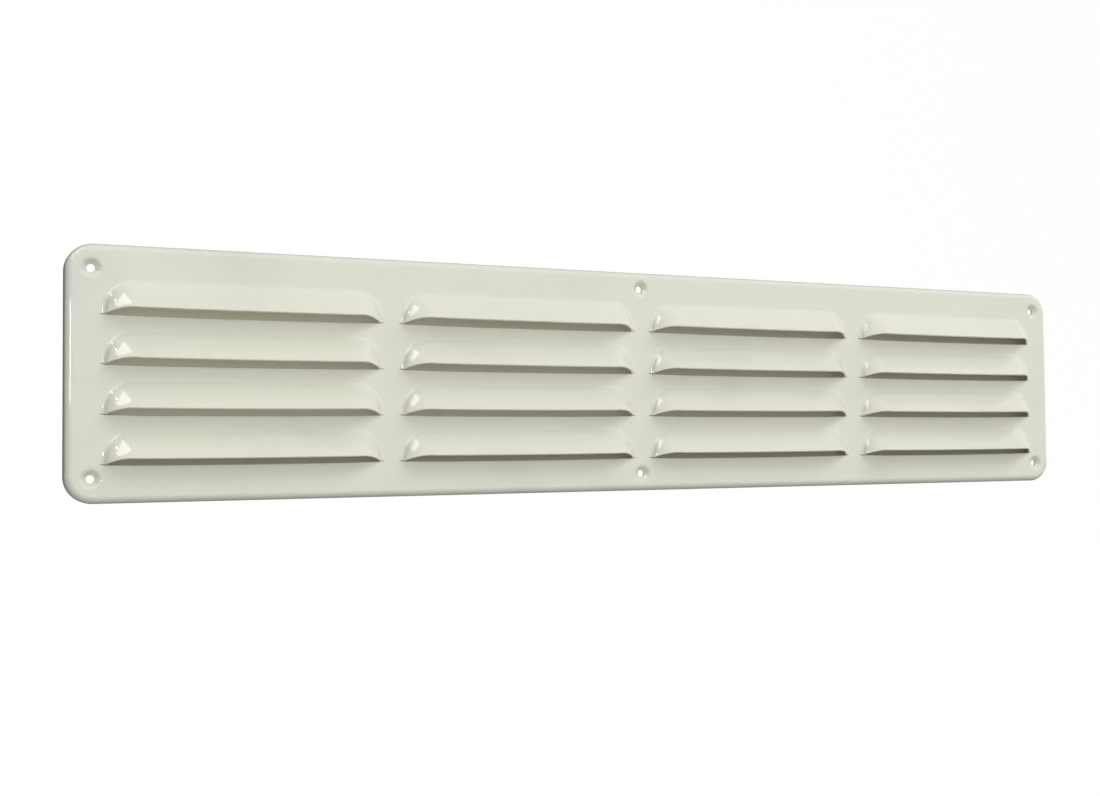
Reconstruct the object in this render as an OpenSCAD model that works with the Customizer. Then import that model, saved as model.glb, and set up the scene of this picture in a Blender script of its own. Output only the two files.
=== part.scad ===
// Louvred ventilation plate, pressed from one sheet of painted metal.
// The plate stands upright with its face towards -Y and its rim's back edge on the wall plane Y = 0.
// The origin is the middle of the plate on that wall plane.

/* [Sheet] */
// Thickness of the sheet
sheet_t = 1.0; // [0.6:0.1:1.5]
// Depth of the pan, from the wall to the plate's face
pan_depth = 8.0; // [6:0.5:20]
// Outer radius of the rolled edge
edge_r = 3.0; // [2:0.1:3.1]
// Outer radius of the plate's four corners
corner_r = 10.5; // [8:0.5:12]

/* [Louvres] */
// Louvres side by side
column_count = 4; // [1:1:8]
// Rows of louvres
row_count = 4; // [1:1:8]
// Length of a louvre's slit
louvre_l = 111.4; // [40:0.1:200]
// Height of a hood, from its slit up to its crease
hood_h = 12.8; // [11:0.1:20]
// How far a hood's lip stands out from the plate's face
hood_out = 8.5; // [5:0.1:11]
// Height of a hood's lip above its slit
lip_gap = 2.45; // [1:0.05:4]
// Run from the slit's tip to where the lip reaches its full height and distance
end_run = 13.0; // [8:0.1:16]
// Angle by which a hood's end wall starts steeper, and ends flatter, than a straight wall
end_swell = 18; // [0:1:25]
// Inner radius of the bend round a hood
bend_r = 2.5; // [1:0.1:3]

/* [Borders] */
// Flat sheet between the hoods of two columns
column_gap = 8.9; // [6:0.1:20]
// Flat sheet between a slit and the crease below it
land_h = 6.5; // [4:0.1:12]
// Sheet from the plate's side to the nearest slit
side_border = 13.85; // [12:0.05:30]
// Sheet from the plate's top edge to the first crease
top_border = 14.3; // [14:0.1:30]
// Sheet from the lowest slit to the plate's bottom edge
bottom_border = 15.0; // [14:0.1:30]

/* [Screw holes] */
// Diameter of a screw hole
hole_d = 3.2; // [2.5:0.1:4]
// Diameter of the dish pressed round a screw hole, where it leaves the face
dish_d = 9.0; // [8.4:0.1:9.2]
// Inner radius of the bend at the mouth of a dish
dish_bend_r = 1.2; // [0.5:0.1:1.3]
// Corner screw holes: from the plate's side, top and bottom edges to the centre
corner_inset = 9.5; // [8.5:0.1:10]
// Middle screw holes: from the plate's top and bottom edges to the centre
middle_inset = 7.7; // [7.6:0.1:8]

/* [Hidden] */
$fn = 96;

column_pitch = louvre_l + column_gap;
row_pitch = hood_h + land_h;
plate_l = column_count * louvre_l + (column_count - 1) * column_gap + 2 * side_border;
plate_h = top_border + hood_h + (row_count - 1) * row_pitch + bottom_border;

// Each hood is bent from sections that stand round its outline, from the left tip of its slit to
// the right one. A section is [point on the fold line, direction across the fold into the hood,
// swell of its wall]. The swell is full at the hood's ends and fades out towards the crease.
end_r = hood_h - lip_gap;
end_steps = 9;
bend_steps = 3;
wall_steps = 3;
// Width of the strip of flat sheet that a hood keeps round its bend.
strip_w = 0.6;
// Points of a section on one side of the sheet: the strip's edge, the bend, and the wall to the lip.
section_n = 1 + (bend_steps + 1) + wall_steps;

left_sections = concat(
    [[[0, 0, 0], [1, 0, 0], end_swell]],
    [for (i = [0:end_steps]) let (a = 90 * i / end_steps)
        [[end_r * (1 - cos(a)), lip_gap + end_r * sin(a), 0], [cos(a), -sin(a), 0], end_swell * cos(a)]]
);
left_count = len(left_sections);
right_sections = [for (i = [left_count - 1:-1:0]) on_right(left_sections[i])];
sections = concat(left_sections, right_sections);
last = len(sections) - 1;

function on_right(s) = [[louvre_l - s[0][0], s[0][1], 0], [-s[1][0], s[1][1], 0], s[2]];

// At each end of a hood the lip is a curve: from the slit's tip it leaves the sheet at a slant and
// rounds off to its full height and distance. The first part of the cut edge, up to the share
// lip_start of the curve's run, belongs to the section at the tip.
lip_start = 0.2;
function on_lip(t) = [
    end_run * t,
    lip_gap * (1 - pow(1 - t, 3)),
    hood_out * (1 - pow(1 - t, 2))
];
function left_lip(i) = on_lip(lip_start + (1 - lip_start) * max(i - 1, 0) / end_steps);
function lip_point(i) =
    i < left_count ? left_lip(i) : let (p = left_lip(last - i)) [louvre_l - p[0], p[1], p[2]];

// Slope of the hood across a section.
function slope(i) = let (s = sections[i], p = lip_point(i)) atan2(p[2], (p - s[0]) * s[1]);

// Way out from the sheet's face where it leans by an angle, in a section that goes across.
function way_out(across, lean) = [0, 0, cos(lean)] - across * sin(lean);

// A section's points, on the sheet's face or on its back.
function section_points(i, offset) =
    let (
        foot = sections[i][0],
        across = sections[i][1],
        swell = sections[i][2],
        a = slope(i),
        bend_a = a + swell,
        setback = bend_r * (sin(bend_a) - (1 - cos(bend_a)) / tan(a)),
        bend_start = foot - across * setback,
        bend_middle = bend_start + [0, 0, bend_r],
        bend_end = bend_middle - way_out(across, bend_a) * bend_r,
        wall = lip_point(i) - bend_end,
        crown = 2 * norm(wall) * tan(swell / 2)
    )
    concat(
        [bend_start - across * strip_w - [0, 0, offset]],
        [for (j = [0:bend_steps])
            bend_middle - way_out(across, bend_a * j / bend_steps) * (bend_r + offset)],
        [for (j = [1:wall_steps]) let (t = j / wall_steps)
            bend_end + wall * t + way_out(across, a) * crown * t * (1 - t)
                - way_out(across, a + swell * (1 - 2 * t)) * offset]
    );

// Outline of the window that a hood fills in the flat sheet, where its bend starts.
hood_outline = [for (i = [0:last]) let (p = section_points(i, 0)[1]) [p[0], p[1]]];

// One hood, from its slit's left tip at the origin, with the sheet's face at Z = 0.
module hood() {
    face = function (i, j) 2 * i * section_n + j;
    back = function (i, j) face(i, j) + section_n;
    lip = section_n - 1;
    skins = [for (i = [0:last - 1], j = [0:lip - 1]) each [
        [face(i, j), face(i + 1, j), face(i + 1, j + 1), face(i, j + 1)],
        [back(i, j), back(i, j + 1), back(i + 1, j + 1), back(i + 1, j)]
    ]];
    edges = [for (i = [0:last - 1]) each [
        [face(i, 0), back(i, 0), back(i + 1, 0), face(i + 1, 0)],
        [face(i, lip), face(i + 1, lip), back(i + 1, lip), back(i, lip)]
    ]];
    tip_cuts = [for (j = [0:lip - 1]) each [
        [face(0, j), face(0, j + 1), back(0, j + 1), back(0, j)],
        [face(last, j), back(last, j), back(last, j + 1), face(last, j + 1)]
    ]];
    points = [for (i = [0:last]) each concat(section_points(i, 0), section_points(i, sheet_t))];
    polyhedron(points, concat(skins, edges, tip_cuts));
}

// Puts its child at the left tip of every slit.
module each_louvre() {
    first_x = -plate_l / 2 + side_border;
    lowest_y = -plate_h / 2 + bottom_border;
    for (c = [0:column_count - 1], r = [0:row_count - 1]) {
        translate([first_x + c * column_pitch, lowest_y + r * row_pitch]) children();
    }
}

// Puts its child at every screw hole: the four corners, and the middle of the top and bottom edges.
module each_screw_hole() {
    for (up = [-1, 1]) {
        for (side = [-1, 1]) {
            translate([side * (plate_l / 2 - corner_inset), up * (plate_h / 2 - corner_inset)]) children();
        }
        translate([0, up * (plate_h / 2 - middle_inset)]) children();
    }
}

// The flat of the sheet, out to where the edge starts to roll, with its openings.
module flat_sheet() {
    flat_l = plate_l - 2 * edge_r;
    flat_h = plate_h - 2 * edge_r;
    r = corner_r - edge_r;
    linear_extrude(sheet_t) difference() {
        union() {
            square([flat_l - 2 * r, flat_h], center = true);
            square([flat_l, flat_h - 2 * r], center = true);
            for (x = [-1, 1], y = [-1, 1]) {
                translate([x * (flat_l / 2 - r), y * (flat_h / 2 - r)]) circle(r);
            }
        }
        each_louvre() polygon(hood_outline);
        each_screw_hole() circle(d = dish_d);
    }
}

// Section of the rolled edge: a quarter round from the flat, then straight back to the wall.
module edge_section() {
    translate([0, pan_depth - edge_r]) intersection() {
        difference() {
            circle(edge_r);
            circle(edge_r - sheet_t);
        }
        square(edge_r);
    }
    translate([edge_r - sheet_t, 0]) square([sheet_t, pan_depth - edge_r]);
}

// A quarter turn of the rolled edge, round one corner of the plate.
module rolled_corner() {
    rotate_extrude(angle = 90) translate([corner_r - edge_r, 0]) edge_section();
}

// The rolled edge along the two long and two short sides, and round the four corners.
module rolled_edge() {
    straight_l = plate_l - 2 * corner_r;
    straight_h = plate_h - 2 * corner_r;
    for (turn = [0, 180]) {
        rotate([0, 0, turn]) {
            translate([straight_l / 2, plate_h / 2 - edge_r, 0])
                rotate([90, 0, -90]) mirror([1, 0, 0]) linear_extrude(straight_l) edge_section();
            translate([plate_l / 2 - edge_r, straight_h / 2, 0])
                rotate([90, 0, 0]) linear_extrude(straight_h) edge_section();
            translate([straight_l / 2, straight_h / 2, 0]) rolled_corner();
            translate([-straight_l / 2, straight_h / 2, 0]) rotate([0, 0, 90]) rolled_corner();
        }
    }
}

// One dish for a countersunk screw head, with the sheet's face at Z = 0.
module screw_dish() {
    wall_slope = 45;
    mouth_steps = 4;
    mouth = dish_d / 2;
    hole_r = hole_d / 2;
    bend = function (r) [for (i = [0:mouth_steps]) let (a = wall_slope * i / mouth_steps)
        [mouth - r * sin(a), r * cos(a) - dish_bend_r - sheet_t]];
    face_bend = bend(dish_bend_r + sheet_t);
    back_bend = bend(dish_bend_r);
    face_end = face_bend[mouth_steps];
    back_end = back_bend[mouth_steps];
    face_drop = (face_end[0] - hole_r) * tan(wall_slope);
    back_drop = (back_end[0] - hole_r) * tan(wall_slope);
    rotate_extrude() polygon(concat(
        face_bend,
        [[hole_r, face_end[1] - face_drop], [hole_r, back_end[1] - back_drop]],
        [for (i = [mouth_steps:-1:0]) back_bend[i]]
    ));
}

module louvre_plate() {
    color([0.86, 0.86, 0.81])
    rotate([90, 0, 0]) {
        rolled_edge();
        translate([0, 0, pan_depth - sheet_t]) flat_sheet();
        translate([0, 0, pan_depth]) {
            each_screw_hole() screw_dish();
            each_louvre() hood();
        }
    }
}

louvre_plate();
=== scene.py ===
import math

import bpy
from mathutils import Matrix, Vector
from mathutils.geometry import delaunay_2d_cdt


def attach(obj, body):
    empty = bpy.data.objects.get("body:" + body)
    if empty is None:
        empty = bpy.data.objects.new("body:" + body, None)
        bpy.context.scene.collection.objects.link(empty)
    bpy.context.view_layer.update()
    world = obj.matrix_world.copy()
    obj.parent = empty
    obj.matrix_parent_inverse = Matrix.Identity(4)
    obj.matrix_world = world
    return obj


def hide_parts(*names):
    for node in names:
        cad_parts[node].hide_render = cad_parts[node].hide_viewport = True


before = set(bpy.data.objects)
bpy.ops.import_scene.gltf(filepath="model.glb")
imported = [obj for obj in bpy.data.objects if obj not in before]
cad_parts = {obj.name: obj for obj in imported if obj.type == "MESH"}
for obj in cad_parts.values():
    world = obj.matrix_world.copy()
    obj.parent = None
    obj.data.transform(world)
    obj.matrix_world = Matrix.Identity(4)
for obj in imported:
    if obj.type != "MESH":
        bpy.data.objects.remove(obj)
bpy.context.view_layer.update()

# The plate is one sheet of thin metal, pressed in a tool and then enamelled all over.
# Its rim is rolled back from the face, so that the sheet stands off the wall like a shallow pan.
# Sizes are in millimetres; a point is (along the plate, up, out from the wall).
PLATE_LENGTH = 500.0
PLATE_HEIGHT = 100.0
SHEET = 1.0
PAN_DEPTH = 8.0
ROLL_RADIUS = 3.0
CORNER_RADIUS = 10.5
EDGE_BULGE = 0.35
EDGE_STEPS = 4
ROLL_STEPS = 10
CORNER_STEPS = 16

points = []
point_index = {}
faces = []
corner_normals = []


def add_point(p):
    key = (round(p[0], 4), round(p[1], 4), round(p[2], 4))
    if key not in point_index:
        point_index[key] = len(points)
        points.append(p)
    return point_index[key]


def add_face(corners):
    """Adds one face from (point, normal) corners, turned so that it looks the way its normals do."""
    ring = []
    for p, n in corners:
        i = add_point(p)
        if not ring or (i != ring[-1][0] and i != ring[0][0]):
            ring.append((i, n))
    if len(ring) < 3:
        return
    middle = sum((points[i] for i, _ in ring), Vector()) / len(ring)
    facing = Vector()
    for k in range(len(ring)):
        a = points[ring[k][0]] - middle
        b = points[ring[(k + 1) % len(ring)][0]] - middle
        facing += a.cross(b)
    if facing.dot(sum((n for _, n in ring), Vector())) < 0:
        ring.reverse()
    faces.append([i for i, _ in ring])
    corner_normals.extend(n for _, n in ring)


def add_skin(rows):
    """Faces between neighbouring rows of (point, normal)."""
    for a, b in zip(rows, rows[1:]):
        for k in range(len(a) - 1):
            add_face([a[k], a[k + 1], b[k + 1], b[k]])


def add_cut_edge(line):
    """The cut edge, painted round, along (face point, back point, way out) stations."""
    rows = []
    for face_point, back_point, way_out in line:
        middle = (face_point + back_point) / 2
        across = (face_point - back_point) / 2
        half = across.length
        row = []
        for k in range(EDGE_STEPS + 1):
            turn = math.pi * k / EDGE_STEPS
            p = middle + across * math.cos(turn) + way_out * EDGE_BULGE * math.sin(turn)
            n = across.normalized() * math.cos(turn) / half + way_out * math.sin(turn) / EDGE_BULGE
            row.append((p, n.normalized()))
        rows.append(row)
    add_skin(rows)
    return rows


def rounded_outline(length, height, radius):
    """Points of a rounded rectangle with the way out at each, anticlockwise from the right."""
    line = []
    for quarter, (sx, sy) in enumerate([(1, 1), (-1, 1), (-1, -1), (1, -1)]):
        centre = Vector((sx * (length / 2 - radius), sy * (height / 2 - radius), 0))
        for k in range(CORNER_STEPS + 1):
            turn = math.radians(90 * quarter + 90 * k / CORNER_STEPS)
            way_out = Vector((math.cos(turn), math.sin(turn), 0))
            line.append((centre + way_out * radius, way_out))
    return line


OUT = Vector((0, 0, 1))
FACE_Z = PAN_DEPTH
BACK_Z = PAN_DEPTH - SHEET

flat_outline = rounded_outline(
    PLATE_LENGTH - 2 * ROLL_RADIUS, PLATE_HEIGHT - 2 * ROLL_RADIUS, CORNER_RADIUS - ROLL_RADIUS
)
rolled_face = []
rolled_back = []
rim_edge = []
for foot, way_out in flat_outline + flat_outline[:1]:
    rows = []
    for radius in (ROLL_RADIUS, ROLL_RADIUS - SHEET):
        row = []
        for k in range(ROLL_STEPS + 1):
            turn = math.radians(90 * k / ROLL_STEPS)
            n = way_out * math.sin(turn) + OUT * math.cos(turn)
            row.append((foot + OUT * (PAN_DEPTH - ROLL_RADIUS) + n * radius, n))
        row.append((foot + way_out * radius + OUT * EDGE_BULGE, way_out))
        rows.append(row)
    rolled_face.append(rows[0])
    rolled_back.append([(p, -n) for p, n in rows[1]])
    rim_edge.append((rows[0][-1][0], rows[1][-1][0], -OUT))
add_skin(rolled_face)
add_skin(rolled_back)
add_cut_edge(rim_edge)

# Sixteen louvres, four rows of four, are slit along their lower edges and pressed out of the
# sheet into slanted hoods that shed the rain. The ends are drawn round into the flat sheet.
SLIT = 111.4
HOOD_HEIGHT = 12.8
HOOD_OUT = 8.5
LIP_GAP = 2.45
LIP_SAG = 0.15
END_RUN = 13.0
END_SWELL = math.radians(18)
LIP_START = 0.1
BEND_RADIUS = 2.5
SLIT_OPEN = 0.12
SLIT_OPEN_FROM = -0.4
SLIT_DROP = 0.1
SLIT_BOW = 0.25
SLIT_FADE = 0.125
BEND_STEPS = 8
WALL_STEPS = 8
TIP_STEPS = 4
END_STEPS = 24
LENGTH_STEPS = 24
SLIT_STEPS = 40
COLUMN_PITCH = 120.3
ROW_PITCH = 19.3
FIRST_SLIT = Vector((-236.15, -35.0, 0))

end_radius = HOOD_HEIGHT - LIP_GAP


def on_lip(t):
    up = LIP_GAP * (1 - (1 - t) ** 3) ** 1.5
    return Vector((END_RUN * t, up, HOOD_OUT * (1 - (1 - t) ** 2)))


def hood_sections():
    """(point on the fold line, way across the fold, point on the lip, swell), left tip to right."""
    left = []
    for k in range(TIP_STEPS):
        foot = Vector((0, LIP_GAP * k / TIP_STEPS, 0))
        left.append((foot, Vector((1, 0, 0)), on_lip(LIP_START), END_SWELL))
    for k in range(END_STEPS + 1):
        turn = math.radians(90 * k / END_STEPS)
        foot = Vector((end_radius * (1 - math.cos(turn)), LIP_GAP + end_radius * math.sin(turn), 0))
        across = Vector((math.cos(turn), -math.sin(turn), 0))
        lip = on_lip(LIP_START + (1 - LIP_START) * k / END_STEPS)
        left.append((foot, across, lip, END_SWELL * math.cos(turn)))
    right = []
    for foot, across, lip, swell in reversed(left):
        right.append((
            Vector((SLIT - foot.x, foot.y, 0)),
            Vector((-across.x, across.y, 0)),
            Vector((SLIT - lip.x, lip.y, lip.z)),
            swell,
        ))
    middle = []
    for k in range(1, LENGTH_STEPS):
        t = k / LENGTH_STEPS
        middle.append((
            left[-1][0].lerp(right[0][0], t),
            Vector((0, -1, 0)),
            left[-1][2].lerp(right[0][2], t) - Vector((0, LIP_SAG * 4 * t * (1 - t), 0)),
            0,
        ))
    return left + middle + right


def hood_skins():
    """Face and back rows of one hood from its left tip, and the stations of its cut edge."""
    face_rows = []
    for foot, across, lip, swell in hood_sections():
        slope = math.atan2(lip.z, (lip - foot).dot(across))
        bend = slope + swell
        setback = BEND_RADIUS * (math.sin(bend) - (1 - math.cos(bend)) / math.tan(slope))
        row = []
        for k in range(BEND_STEPS + 1):
            turn = bend * k / BEND_STEPS
            p = foot + across * (BEND_RADIUS * math.sin(turn) - setback)
            p = p + OUT * BEND_RADIUS * (1 - math.cos(turn))
            row.append((p, OUT * math.cos(turn) - across * math.sin(turn)))
        bend_end = row[-1][0]
        wall = lip - bend_end
        wall_normal = OUT * math.cos(slope) - across * math.sin(slope)
        crown = wall_normal * 2 * wall.length * math.tan(swell / 2)
        for k in range(1, WALL_STEPS + 1):
            t = k / WALL_STEPS
            lean = slope + swell * (1 - 2 * t)
            p = bend_end + wall * t + crown * t * (1 - t)
            row.append((p, OUT * math.cos(lean) - across * math.sin(lean)))
        face_rows.append(row)
    tip = face_rows[0]
    end = face_rows[-1]
    lip_line = [row[-1] for row in face_rows]
    border = tip[:-1] + lip_line + end[-2::-1]
    ways_out = []
    for k, (p, n) in enumerate(border):
        along = border[min(k + 1, len(border) - 1)][0] - border[max(k - 1, 0)][0]
        if along.length < 1e-6:
            along = border[min(k + 5, len(border) - 1)][0] - border[max(k - 5, 0)][0]
        ways_out.append(along.cross(n).normalized())
    moved = [(p - w * EDGE_BULGE, n) for (p, n), w in zip(border, ways_out)]
    count = len(tip) - 1
    face_rows[0] = moved[:count + 1]
    face_rows[-1] = moved[:-count - 2:-1]
    for row, (lip, _) in zip(face_rows, moved[count:len(moved) - count]):
        shift = lip - row[-1][0]
        for k in range(1, WALL_STEPS + 1):
            p, n = row[BEND_STEPS + k]
            row[BEND_STEPS + k] = (p + shift * (k / WALL_STEPS), n)
    back_rows = [[(p - n * SHEET, -n) for p, n in row] for row in face_rows]
    border = face_rows[0][:-1] + [row[-1] for row in face_rows] + face_rows[-1][-2::-1]
    cut = [(p, p - n * SHEET, w) for (p, n), w in zip(border, ways_out)]
    return face_rows, back_rows, cut


def moved_rows(rows, shift):
    return [[(p + shift, n) for p, n in row] for row in rows]


face_rows, back_rows, hood_cut = hood_skins()
window = [row[0][0].xy for row in face_rows]
slit_left = window[0].x
slit_right = window[-1].x
slit_line = []
for k in range(SLIT_STEPS + 1):
    t = (1 - math.cos(math.pi * k / SLIT_STEPS)) / 2
    x = slit_left + (slit_right - slit_left) * t
    fade = min(1, t / SLIT_FADE, (1 - t) / SLIT_FADE)
    drop = EDGE_BULGE + (SLIT_DROP + SLIT_BOW * 4 * t * (1 - t)) * fade
    drop += SLIT_OPEN * min(1, max(0, min(x, SLIT - x) - SLIT_OPEN_FROM))
    slit_line.append(Vector((x, -drop, 0)))
UP = Vector((0, 1, 0))
windows = []
for column in range(4):
    for row_number in range(4):
        corner = FIRST_SLIT + Vector((column * COLUMN_PITCH, row_number * ROW_PITCH, 0))
        shift = corner + OUT * FACE_Z
        add_skin(moved_rows(face_rows, shift))
        add_skin(moved_rows(back_rows, shift))
        cut_rows = add_cut_edge([(f + shift, b + shift, w) for f, b, w in hood_cut])
        slit_rows = add_cut_edge([(p + shift, p + shift - OUT * SHEET, UP) for p in slit_line])
        for side, hood_profile, slit_profile in (
            (1, cut_rows[0], slit_rows[0]),
            (-1, cut_rows[-1], slit_rows[-1]),
        ):
            way = Vector((side, 0, 0))
            for part in (slice(0, 3), slice(2, 5)):
                upper = [p for p, _ in hood_profile[part]]
                lower = [p for p, _ in slit_profile[part]]
                add_face([(p, way) for p in upper + lower[::-1]])
        windows.append([(p + corner.xy) for p in window] + [(p + corner).xy for p in slit_line[::-1]])

# Six countersunk screw holes: the sheet round each hole is pressed back into a cone-shaped
# dish for the screw's head, with a small bend where the dish leaves the face.
HOLE_RADIUS = 1.6
DISH_RADIUS = 4.5
DISH_BEND = 1.2
DISH_SLOPE = 45
DISH_SPOKES = 48
DISH_BEND_STEPS = 6
DISH_WALL_STEPS = 3
CORNER_INSET = 9.5
MIDDLE_INSET = 7.7

dish_centres = []
for up in (-1, 1):
    for side in (-1, 1):
        dish_centres.append(Vector((
            side * (PLATE_LENGTH / 2 - CORNER_INSET), up * (PLATE_HEIGHT / 2 - CORNER_INSET), 0
        )))
    dish_centres.append(Vector((0, up * (PLATE_HEIGHT / 2 - MIDDLE_INSET), 0)))

dish_circles = []
for centre in dish_centres:
    face_rows = []
    back_rows = []
    hole_edge = []
    for spoke in range(DISH_SPOKES + 1):
        turn = math.tau * (spoke % DISH_SPOKES) / DISH_SPOKES
        way_out = Vector((math.cos(turn), math.sin(turn), 0))
        up_the_wall = way_out + OUT * math.tan(math.radians(DISH_SLOPE))
        rows = []
        for radius in (DISH_BEND + SHEET, DISH_BEND):
            row = []
            for k in range(DISH_BEND_STEPS + 1):
                lean = math.radians(DISH_SLOPE * k / DISH_BEND_STEPS)
                p = centre + way_out * (DISH_RADIUS - radius * math.sin(lean))
                p = p + OUT * (FACE_Z - DISH_BEND - SHEET + radius * math.cos(lean))
                row.append((p, OUT * math.cos(lean) - way_out * math.sin(lean)))
            bend_end, n = row[-1]
            run = (bend_end - centre).dot(way_out) - HOLE_RADIUS - EDGE_BULGE
            for k in range(1, DISH_WALL_STEPS + 1):
                row.append((bend_end - up_the_wall * run * k / DISH_WALL_STEPS, n))
            rows.append(row)
        face_rows.append(rows[0])
        back_rows.append([(p, -n) for p, n in rows[1]])
        hole_edge.append((rows[0][-1][0], rows[1][-1][0], -way_out))
    add_skin(face_rows)
    add_skin(back_rows)
    add_cut_edge(hole_edge)
    dish_circles.append([row[0][0].xy for row in face_rows[:-1]])

# The flat of the sheet is what is left between the rolled rim, the louvres and the screw dishes.
# Face and back are cut into triangles from those outlines.
outlines = [[p.xy for p, _ in flat_outline]] + windows + dish_circles
flat_points = []
flat_edges = []
for outline in outlines:
    first = len(flat_points)
    flat_points.extend(outline)
    count = len(outline)
    flat_edges.extend((first + k, first + (k + 1) % count) for k in range(count))
flat_points, _, triangles, _, _, _ = delaunay_2d_cdt(flat_points, flat_edges, [], 1, 1e-5)


def inside(p, outline):
    crossings = 0
    for a, b in zip(outline, outline[1:] + outline[:1]):
        if (a.y > p.y) != (b.y > p.y) and p.x < a.x + (b.x - a.x) * (p.y - a.y) / (b.y - a.y):
            crossings += 1
    return crossings % 2 == 1


openings = []
for outline in outlines[1:]:
    low = Vector((min(p.x for p in outline), min(p.y for p in outline)))
    high = Vector((max(p.x for p in outline), max(p.y for p in outline)))
    openings.append((low, high, outline))
for triangle in triangles:
    corners = [flat_points[i] for i in triangle]
    middle = sum(corners, Vector((0, 0))) / 3
    cut_out = any(
        low.x < middle.x < high.x and low.y < middle.y < high.y and inside(middle, outline)
        for low, high, outline in openings
    )
    if cut_out:
        continue
    add_face([(Vector((p.x, p.y, FACE_Z)), OUT) for p in corners])
    add_face([(Vector((p.x, p.y, BACK_Z)), -OUT) for p in corners])

plate_mesh = bpy.data.meshes.new("louvre_plate_sheet")
plate_mesh.from_pydata([(p.x / 1000, -p.z / 1000, p.y / 1000) for p in points], [], faces)
plate_mesh.polygons.foreach_set("use_smooth", [True] * len(plate_mesh.polygons))
plate_mesh.normals_split_custom_set([(n.x, -n.z, n.y) for n in corner_normals])
plate_mesh.validate()
plate = bpy.data.objects.new("louvred_sheet", plate_mesh)
bpy.context.scene.collection.objects.link(plate)

# The paint is a thick glossy off-white stove enamel, laid on after the sheet is pressed. It has a
# faint orange peel, a little grey dust that dulls its colour here and there, and a few dark specks.
ENAMEL = (0.75, 0.752, 0.645, 1)
DUSTY_ENAMEL = (0.70, 0.70, 0.61, 1)
SPECK = (0.12, 0.11, 0.08, 1)
PEEL_SCALE = 500
PEEL_DEPTH = 0.001
DUST_SCALE = 30
SPECK_SCALE = 60
SPECKED_SHARE = 0.07
SPECK_RADIUS = 0.025

paint = bpy.data.materials.new("off_white_enamel")
paint.use_nodes = True
nodes = paint.node_tree.nodes
links = paint.node_tree.links
shader = nodes["Principled BSDF"]
shader.inputs["Base Color"].default_value = ENAMEL
shader.inputs["Roughness"].default_value = 0.6
shader.inputs["Coat Weight"].default_value = 1.0
shader.inputs["Coat Roughness"].default_value = 0.02


def map_range(tree, value, start, end):
    """Carries a value over from one (low, high) range to another."""
    node = tree.nodes.new("ShaderNodeMapRange")
    node.inputs["From Min"].default_value = start[0]
    node.inputs["From Max"].default_value = start[1]
    node.inputs["To Min"].default_value = end[0]
    node.inputs["To Max"].default_value = end[1]
    tree.links.new(value, node.inputs["Value"])
    return node.outputs[0]


def maths(tree, operation, first, second):
    """One step of arithmetic on a socket and on either a second socket or a number."""
    node = tree.nodes.new("ShaderNodeMath")
    node.operation = operation
    tree.links.new(first, node.inputs[0])
    if isinstance(second, float):
        node.inputs[1].default_value = second
    else:
        tree.links.new(second, node.inputs[1])
    return node.outputs[0]


place = nodes.new("ShaderNodeTexCoord")
peel = nodes.new("ShaderNodeTexNoise")
peel.inputs["Scale"].default_value = PEEL_SCALE
peel.inputs["Detail"].default_value = 2
links.new(place.outputs["Object"], peel.inputs["Vector"])
peel_bump = nodes.new("ShaderNodeBump")
peel_bump.inputs["Strength"].default_value = 0.1
peel_bump.inputs["Distance"].default_value = PEEL_DEPTH
links.new(peel.outputs["Fac"], peel_bump.inputs["Height"])
links.new(peel_bump.outputs["Normal"], shader.inputs["Normal"])

dust = nodes.new("ShaderNodeTexNoise")
dust.inputs["Scale"].default_value = DUST_SCALE
dust.inputs["Detail"].default_value = 6
links.new(place.outputs["Object"], dust.inputs["Vector"])
dusted = nodes.new("ShaderNodeMix")
dusted.data_type = "RGBA"
dusted.inputs["A"].default_value = ENAMEL
dusted.inputs["B"].default_value = DUSTY_ENAMEL
dust_share = map_range(paint.node_tree, dust.outputs["Fac"], (0.5, 0.75), (0, 1))
links.new(dust_share, dusted.inputs["Factor"])

cells = nodes.new("ShaderNodeTexVoronoi")
cells.inputs["Scale"].default_value = SPECK_SCALE
links.new(place.outputs["Object"], cells.inputs["Vector"])
cell_draw = nodes.new("ShaderNodeSeparateColor")
links.new(cells.outputs["Color"], cell_draw.inputs[0])
speck_radius = map_range(
    paint.node_tree, cell_draw.outputs[0], (1 - SPECKED_SHARE, 1), (0, SPECK_RADIUS)
)
in_speck = maths(paint.node_tree, "LESS_THAN", cells.outputs["Distance"], speck_radius)
specked = nodes.new("ShaderNodeMix")
specked.data_type = "RGBA"
specked.inputs["B"].default_value = SPECK
links.new(in_speck, specked.inputs["Factor"])
links.new(dusted.outputs["Result"], specked.inputs["A"])
links.new(specked.outputs["Result"], shader.inputs["Base Color"])
plate_mesh.materials.append(paint)

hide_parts("louvre_plate")
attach(plate, "root")

# The studio floor is one pale sheet that lies well below the plate and sweeps up behind it into a
# backdrop. The camera sees it as white, and it keeps a share of its own colour for the shadow.
FLOOR_UP = -0.30
FLOOR_FRONT = -6.0
SWEEP_HALF_WIDTH = 8.0
SWEEP_START = 2.5
SWEEP_RADIUS = 1.5
SWEEP_STEPS = 12
BACKDROP_TOP = 6.0
FLOOR_GREY = (0.3, 0.3, 0.3, 1)
WHITE_SHARE = 0.75
WHITE_STRENGTH = 1.3

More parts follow.
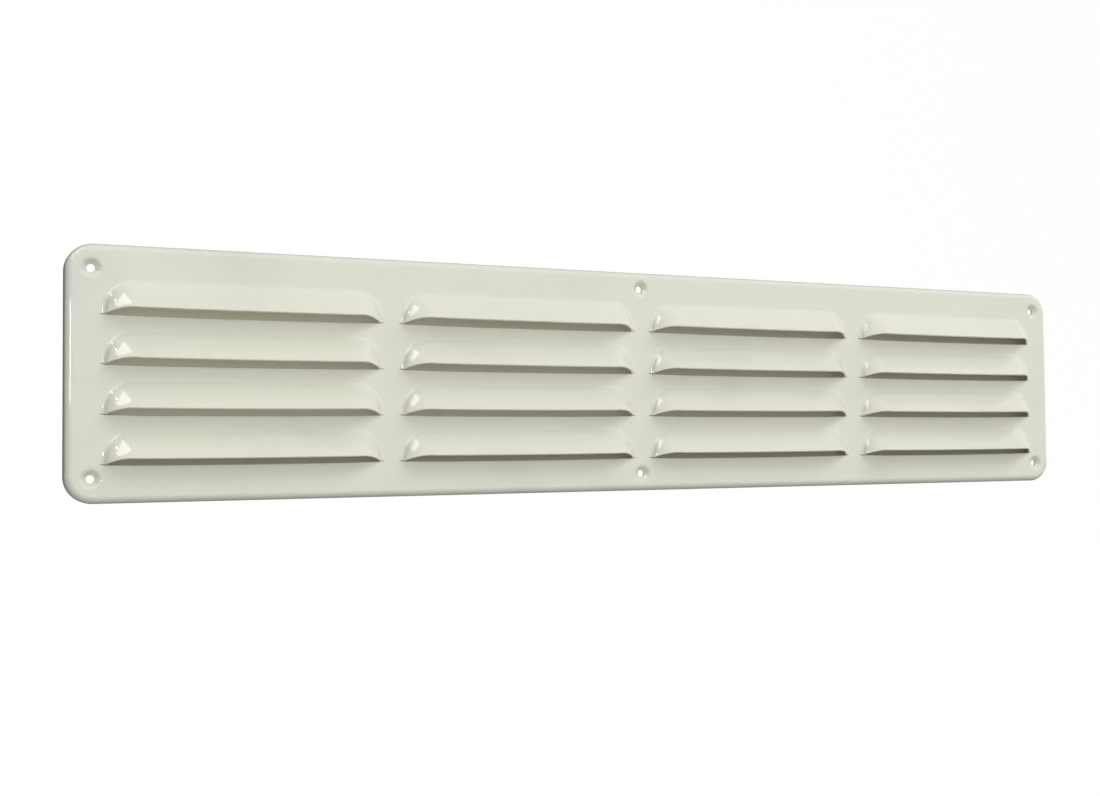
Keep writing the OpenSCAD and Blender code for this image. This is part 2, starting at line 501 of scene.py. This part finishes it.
profile = [(FLOOR_FRONT, FLOOR_UP), (SWEEP_START, FLOOR_UP)]
for k in range(1, SWEEP_STEPS + 1):
    turn = math.radians(90 * k / SWEEP_STEPS)
    profile.append((
        SWEEP_START + SWEEP_RADIUS * math.sin(turn), FLOOR_UP + SWEEP_RADIUS * (1 - math.cos(turn))
    ))
profile.append((SWEEP_START + SWEEP_RADIUS, BACKDROP_TOP))
sweep_points = []
sweep_faces = []
for y, z in profile:
    sweep_points.append((-SWEEP_HALF_WIDTH, y, z))
    sweep_points.append((SWEEP_HALF_WIDTH, y, z))
for k in range(len(profile) - 1):
    sweep_faces.append((2 * k, 2 * k + 1, 2 * k + 3, 2 * k + 2))
sweep_mesh = bpy.data.meshes.new("studio_floor")
sweep_mesh.from_pydata(sweep_points, [], sweep_faces)
sweep_mesh.polygons.foreach_set("use_smooth", [True] * len(sweep_mesh.polygons))
sweep = bpy.data.objects.new("studio_floor", sweep_mesh)
bpy.context.scene.collection.objects.link(sweep)

pale = bpy.data.materials.new("pale_floor")
pale.use_nodes = True
nodes = pale.node_tree.nodes
links = pale.node_tree.links
nodes["Principled BSDF"].inputs["Base Color"].default_value = FLOOR_GREY
nodes["Principled BSDF"].inputs["Roughness"].default_value = 0.9
seen = nodes.new("ShaderNodeLightPath")
white = nodes.new("ShaderNodeEmission")
white.inputs["Strength"].default_value = WHITE_STRENGTH
mix = nodes.new("ShaderNodeMixShader")
white_share = maths(pale.node_tree, "MULTIPLY", seen.outputs["Is Camera Ray"], WHITE_SHARE)
links.new(white_share, mix.inputs["Fac"])
links.new(nodes["Principled BSDF"].outputs[0], mix.inputs[1])
links.new(white.outputs[0], mix.inputs[2])
links.new(mix.outputs[0], nodes["Material Output"].inputs["Surface"])
sweep_mesh.materials.append(pale)

# A pale board closes the open back of the pan, as the wall does in use, and shows through the slits.
# Only the camera sees a painted shade on it: a faint glow, brightest at the top left, that deepens
# to the right and below. From behind it is clear.
BOARD_HALF_LENGTH = 0.2485
BOARD_HALF_HEIGHT = 0.0385
BOARD_BEHIND = 0.0003
BOARD_COLOUR = (0.42, 0.4, 0.33, 1)
PAINTED_SHADE_GLOW = (1, 0.95, 0.72, 1)

board_mesh = bpy.data.meshes.new("board_behind")
board_mesh.from_pydata(
    [
        (x * BOARD_HALF_LENGTH, -BOARD_BEHIND, z * BOARD_HALF_HEIGHT)
        for x, z in ((-1, -1), (1, -1), (1, 1), (-1, 1))
    ],
    [],
    [(0, 1, 2, 3)],
)
board = bpy.data.objects.new("board_behind", board_mesh)
bpy.context.scene.collection.objects.link(board)

card = bpy.data.materials.new("pale_board")
card.use_nodes = True
nodes = card.node_tree.nodes
links = card.node_tree.links
shader = nodes["Principled BSDF"]
shader.inputs["Base Color"].default_value = BOARD_COLOUR
shader.inputs["Roughness"].default_value = 0.9
shader.inputs["Emission Color"].default_value = PAINTED_SHADE_GLOW
place = nodes.new("ShaderNodeTexCoord")
split = nodes.new("ShaderNodeSeparateXYZ")
links.new(place.outputs["Object"], split.inputs[0])
# Painted shade: a glow that only the camera sees, strongest at the top left and fading to the right
# and towards the bottom.
along = map_range(card.node_tree, split.outputs["X"], (-0.24, 0.24), (0.2, 0.06))
up = map_range(card.node_tree, split.outputs["Z"], (-0.038, -0.012), (0.25, 1.0))
painted_shade = maths(card.node_tree, "MULTIPLY", along, up)
seen = nodes.new("ShaderNodeLightPath")
camera_painted_shade = maths(card.node_tree, "MULTIPLY", painted_shade, seen.outputs["Is Camera Ray"])
links.new(camera_painted_shade, shader.inputs["Emission Strength"])
side = nodes.new("ShaderNodeNewGeometry")
clear = nodes.new("ShaderNodeBsdfTransparent")
mix = nodes.new("ShaderNodeMixShader")
links.new(side.outputs["Backfacing"], mix.inputs["Fac"])
links.new(shader.outputs[0], mix.inputs[1])
links.new(clear.outputs[0], mix.inputs[2])
links.new(mix.outputs[0], nodes["Material Output"].inputs["Surface"])
board_mesh.materials.append(card)

# The room round the studio gives a little even light. The camera and the enamel's mirror images
# see it as white.
ROOM_STRENGTH = 0.13

world = bpy.data.worlds.new("studio_light")
bpy.context.scene.world = world
world.use_nodes = True
nodes = world.node_tree.nodes
links = world.node_tree.links
soft = nodes["Background"]
soft.inputs["Color"].default_value = (1, 1, 1, 1)
soft.inputs["Strength"].default_value = ROOM_STRENGTH
bright = nodes.new("ShaderNodeBackground")
bright.inputs["Color"].default_value = (1, 1, 1, 1)
bright.inputs["Strength"].default_value = 1.0
seen = nodes.new("ShaderNodeLightPath")
mix = nodes.new("ShaderNodeMixShader")
seen_or_mirrored = maths(
    world.node_tree, "MAXIMUM", seen.outputs["Is Camera Ray"], seen.outputs["Is Glossy Ray"]
)
links.new(seen_or_mirrored, mix.inputs["Fac"])
links.new(soft.outputs[0], mix.inputs[1])
links.new(bright.outputs[0], mix.inputs[2])
links.new(mix.outputs[0], nodes["World Output"].inputs["Surface"])


# Three large soft boxes light the plate from the upper right, from in front and from behind, and
# aren't mirrored in it. A window and two small lamps at the left only leave their mirror images on
# the hoods' ends.
def soft_box(name, place, size, power, mirrored):
    light = bpy.data.lights.new(name, "AREA")
    light.shape = "RECTANGLE"
    light.size, light.size_y = size
    light.energy = power
    lamp = bpy.data.objects.new(name, light)
    lamp.location = place
    lamp.rotation_euler = (-Vector(place)).to_track_quat("-Z", "Y").to_euler()
    lamp.visible_glossy = mirrored
    lamp.visible_diffuse = not mirrored
    bpy.context.scene.collection.objects.link(lamp)


soft_box("key_soft_box", (1.35, -1.75, 2.0), (2.6, 1.2), 48.5, False)
soft_box("front_lamp", (-0.6, -2.83, 0.6), (1.5, 1.5), 41.5, False)
soft_box("back_lamp", (0.9, 2.3, 1.2), (1.5, 1.5), 40, False)
soft_box("side_window", (-0.766, -0.449, 0.892), (0.35, 0.8), 4.5, True)
soft_box("side_lamp", (-0.571, -0.117, 0.353), (0.055, 0.055), 0.15, True)
soft_box("camera_lamp", (-0.869, -0.917, 0.084), (0.12, 0.12), 1.4, True)

# The camera stands where the picture's perspective puts it: a little below the plate's middle and
# out beyond its left end, turned to the right.
camera_data = bpy.data.cameras.new("photo_camera")
camera_data.lens = 43.85
camera_data.sensor_width = 36
camera_data.clip_start = 0.01
camera = bpy.data.objects.new("photo_camera", camera_data)
camera.location = (-0.3021, -0.5437, -0.0297)
camera.rotation_euler = (math.radians(92.09), math.radians(0.51), math.radians(-25.47))
bpy.context.scene.collection.objects.link(camera)
bpy.context.scene.camera = camera

bpy.context.scene.view_settings.view_transform = "Standard"
